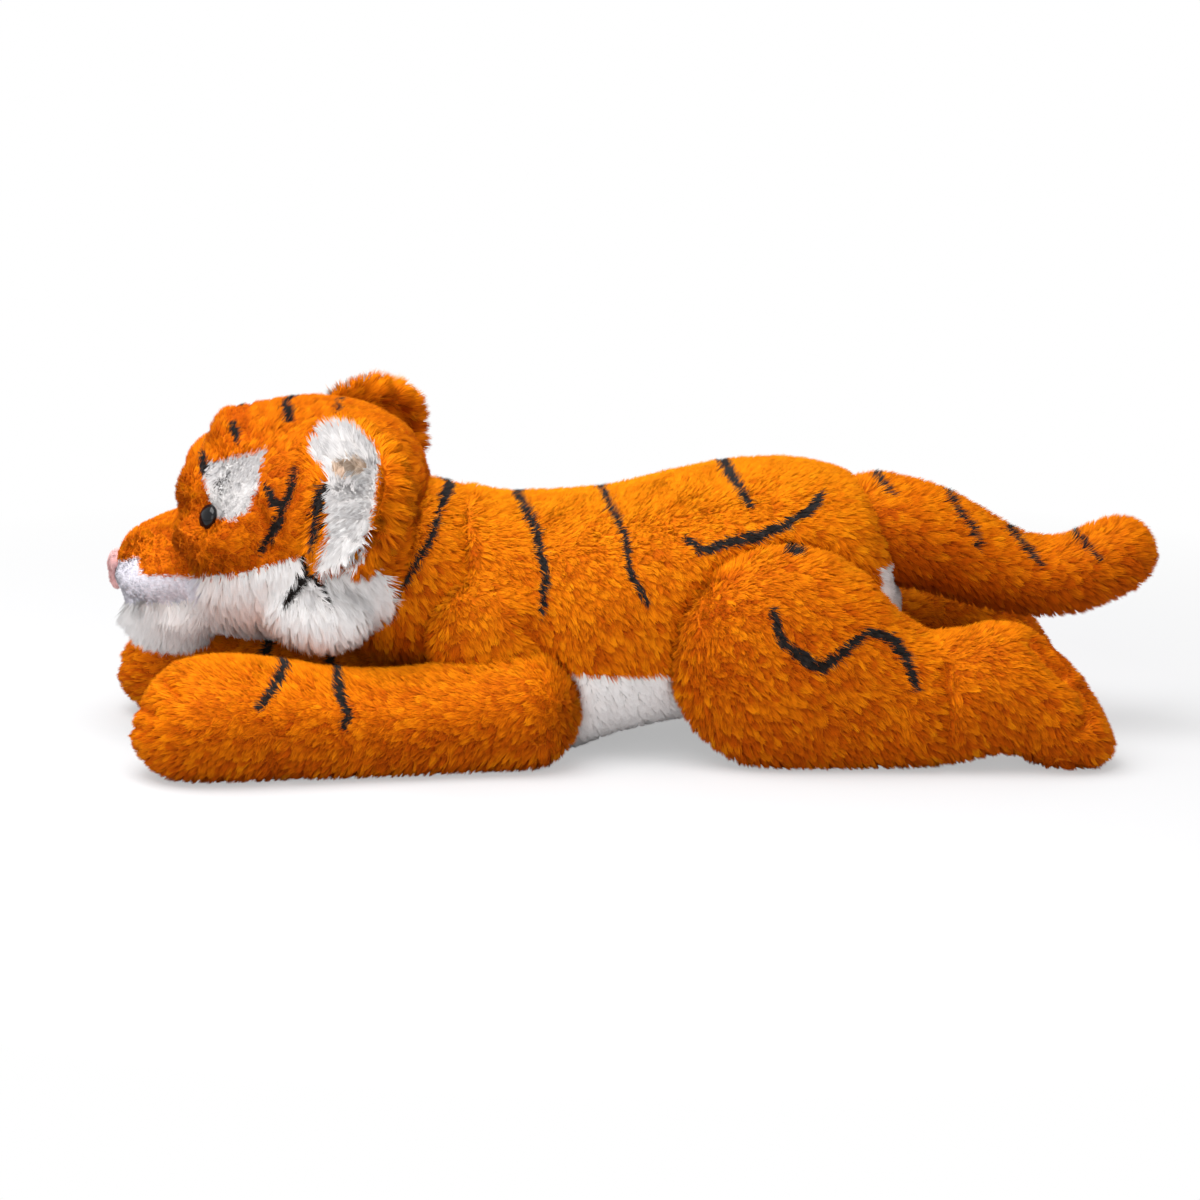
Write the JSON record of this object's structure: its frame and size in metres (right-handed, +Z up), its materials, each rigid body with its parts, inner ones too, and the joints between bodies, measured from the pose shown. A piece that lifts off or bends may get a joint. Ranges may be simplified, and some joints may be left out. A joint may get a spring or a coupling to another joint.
{
  "type": "plush tiger",
  "caption": "Stuffed toy tiger lying on its belly, with a turning and nodding head, forelegs that splay, hind legs that swing, a wagging tail and folding ears.",
  "frame": {"origin": "on the surface that the toy rests on, under the middle of its length and width", "axes": "+Z up; the head points along -X and the tail along +X; +Y is the tiger's right side, -Y its left"},
  "size_m": [0.6434, 0.2354, 0.2118],
  "materials": {
    "orange_fur": "deep orange plush pile, about 8 mm long, in small combed tufts with darker roots, crossed by thin black stripes",
    "white_fur": "white plush pile, longer and looser than the orange",
    "muzzle_fur": "very short white pile, smooth, with a cool tint",
    "nose_fur": "pink short pile",
    "stuffing": "white polyester fibre filling, hidden",
    "eye_plastic": "glossy black moulded plastic",
    "washer_plastic": "natural white plastic, hidden"
  },
  "bodies": {
    "torso": {"torso_skin": "orange_fur", "belly_panel": "white_fur", "torso_stuffing": "stuffing"},
    "neck": {"neck": "orange_fur"},
    "head": {"head_skin": "orange_fur", "head_stuffing": "stuffing", "cheek_left": "white_fur", "cheek_right": "white_fur", "eye_patch_left": "white_fur", "eye_patch_right": "white_fur", "bridge": "orange_fur", "muzzle": "muzzle_fur", "chin": "white_fur", "nose": "nose_fur", "eye_left": "eye_plastic", "eye_right": "eye_plastic", "eye_washer_left": "washer_plastic", "eye_washer_right": "washer_plastic"},
    "ear_left": {"ear_back_left": "orange_fur", "ear_lining_left": "white_fur"},
    "ear_right": {"ear_back_right": "orange_fur", "ear_lining_right": "white_fur"},
    "foreleg_left": {"foreleg_left": "orange_fur"},
    "foreleg_right": {"foreleg_right": "orange_fur"},
    "hindleg_left": {"hindleg_left": "orange_fur"},
    "hindleg_right": {"hindleg_right": "orange_fur"},
    "tail": {"tail": "orange_fur"}
  },
  "joints": [
    {"name": "neck_turn", "type": "hinge", "parent": "torso", "child": "neck", "pos_m": [-0.132, 0, 0.106], "axis": [0, 0, 1], "range_deg": [-7, 23], "stiffness_Nm_per_rad": 0.15},
    {"name": "head_nod", "type": "hinge", "parent": "neck", "child": "head", "pos_m": [-0.132, 0, 0.106], "axis": [0.1392, 0.9903, 0], "range_deg": [0, 12], "stiffness_Nm_per_rad": 0.2},
    {"name": "ear_left_fold", "type": "hinge", "parent": "head", "child": "ear_left", "pos_m": [-0.19958, -0.05595, 0.16468], "axis": [0.0586, 0.4169, 0.9071], "range_deg": [-12, 12], "stiffness_Nm_per_rad": 0.01},
    {"name": "ear_right_fold", "type": "hinge", "parent": "head", "child": "ear_right", "pos_m": [-0.18154, 0.07241, 0.16468], "axis": [0.0586, 0.4168, -0.9071], "range_deg": [-12, 12], "stiffness_Nm_per_rad": 0.01},
    {"name": "foreleg_left_splay", "type": "hinge", "parent": "torso", "child": "foreleg_left", "pos_m": [-0.0779, -0.064, 0.0355], "axis": [0, 0, 1], "range_deg": [0, 35], "stiffness_Nm_per_rad": 0.12},
    {"name": "foreleg_right_splay", "type": "hinge", "parent": "torso", "child": "foreleg_right", "pos_m": [-0.0779, 0.064, 0.0355], "axis": [0, 0, -1], "range_deg": [0, 35], "stiffness_Nm_per_rad": 0.12},
    {"name": "hindleg_left_swing", "type": "hinge", "parent": "torso", "child": "hindleg_left", "pos_m": [0.08312, -0.078, 0.0675], "axis": [0, 1, 0], "range_deg": [0, 70], "stiffness_Nm_per_rad": 0.12},
    {"name": "hindleg_right_swing", "type": "hinge", "parent": "torso", "child": "hindleg_right", "pos_m": [0.08312, 0.078, 0.0675], "axis": [0, 1, 0], "range_deg": [0, 70], "stiffness_Nm_per_rad": 0.12},
    {"name": "tail_wag", "type": "hinge", "parent": "torso", "child": "tail", "pos_m": [0.15, 0, 0.132], "axis": [0, 0, 1], "range_deg": [-12, 12], "stiffness_Nm_per_rad": 0.05}
  ]
}
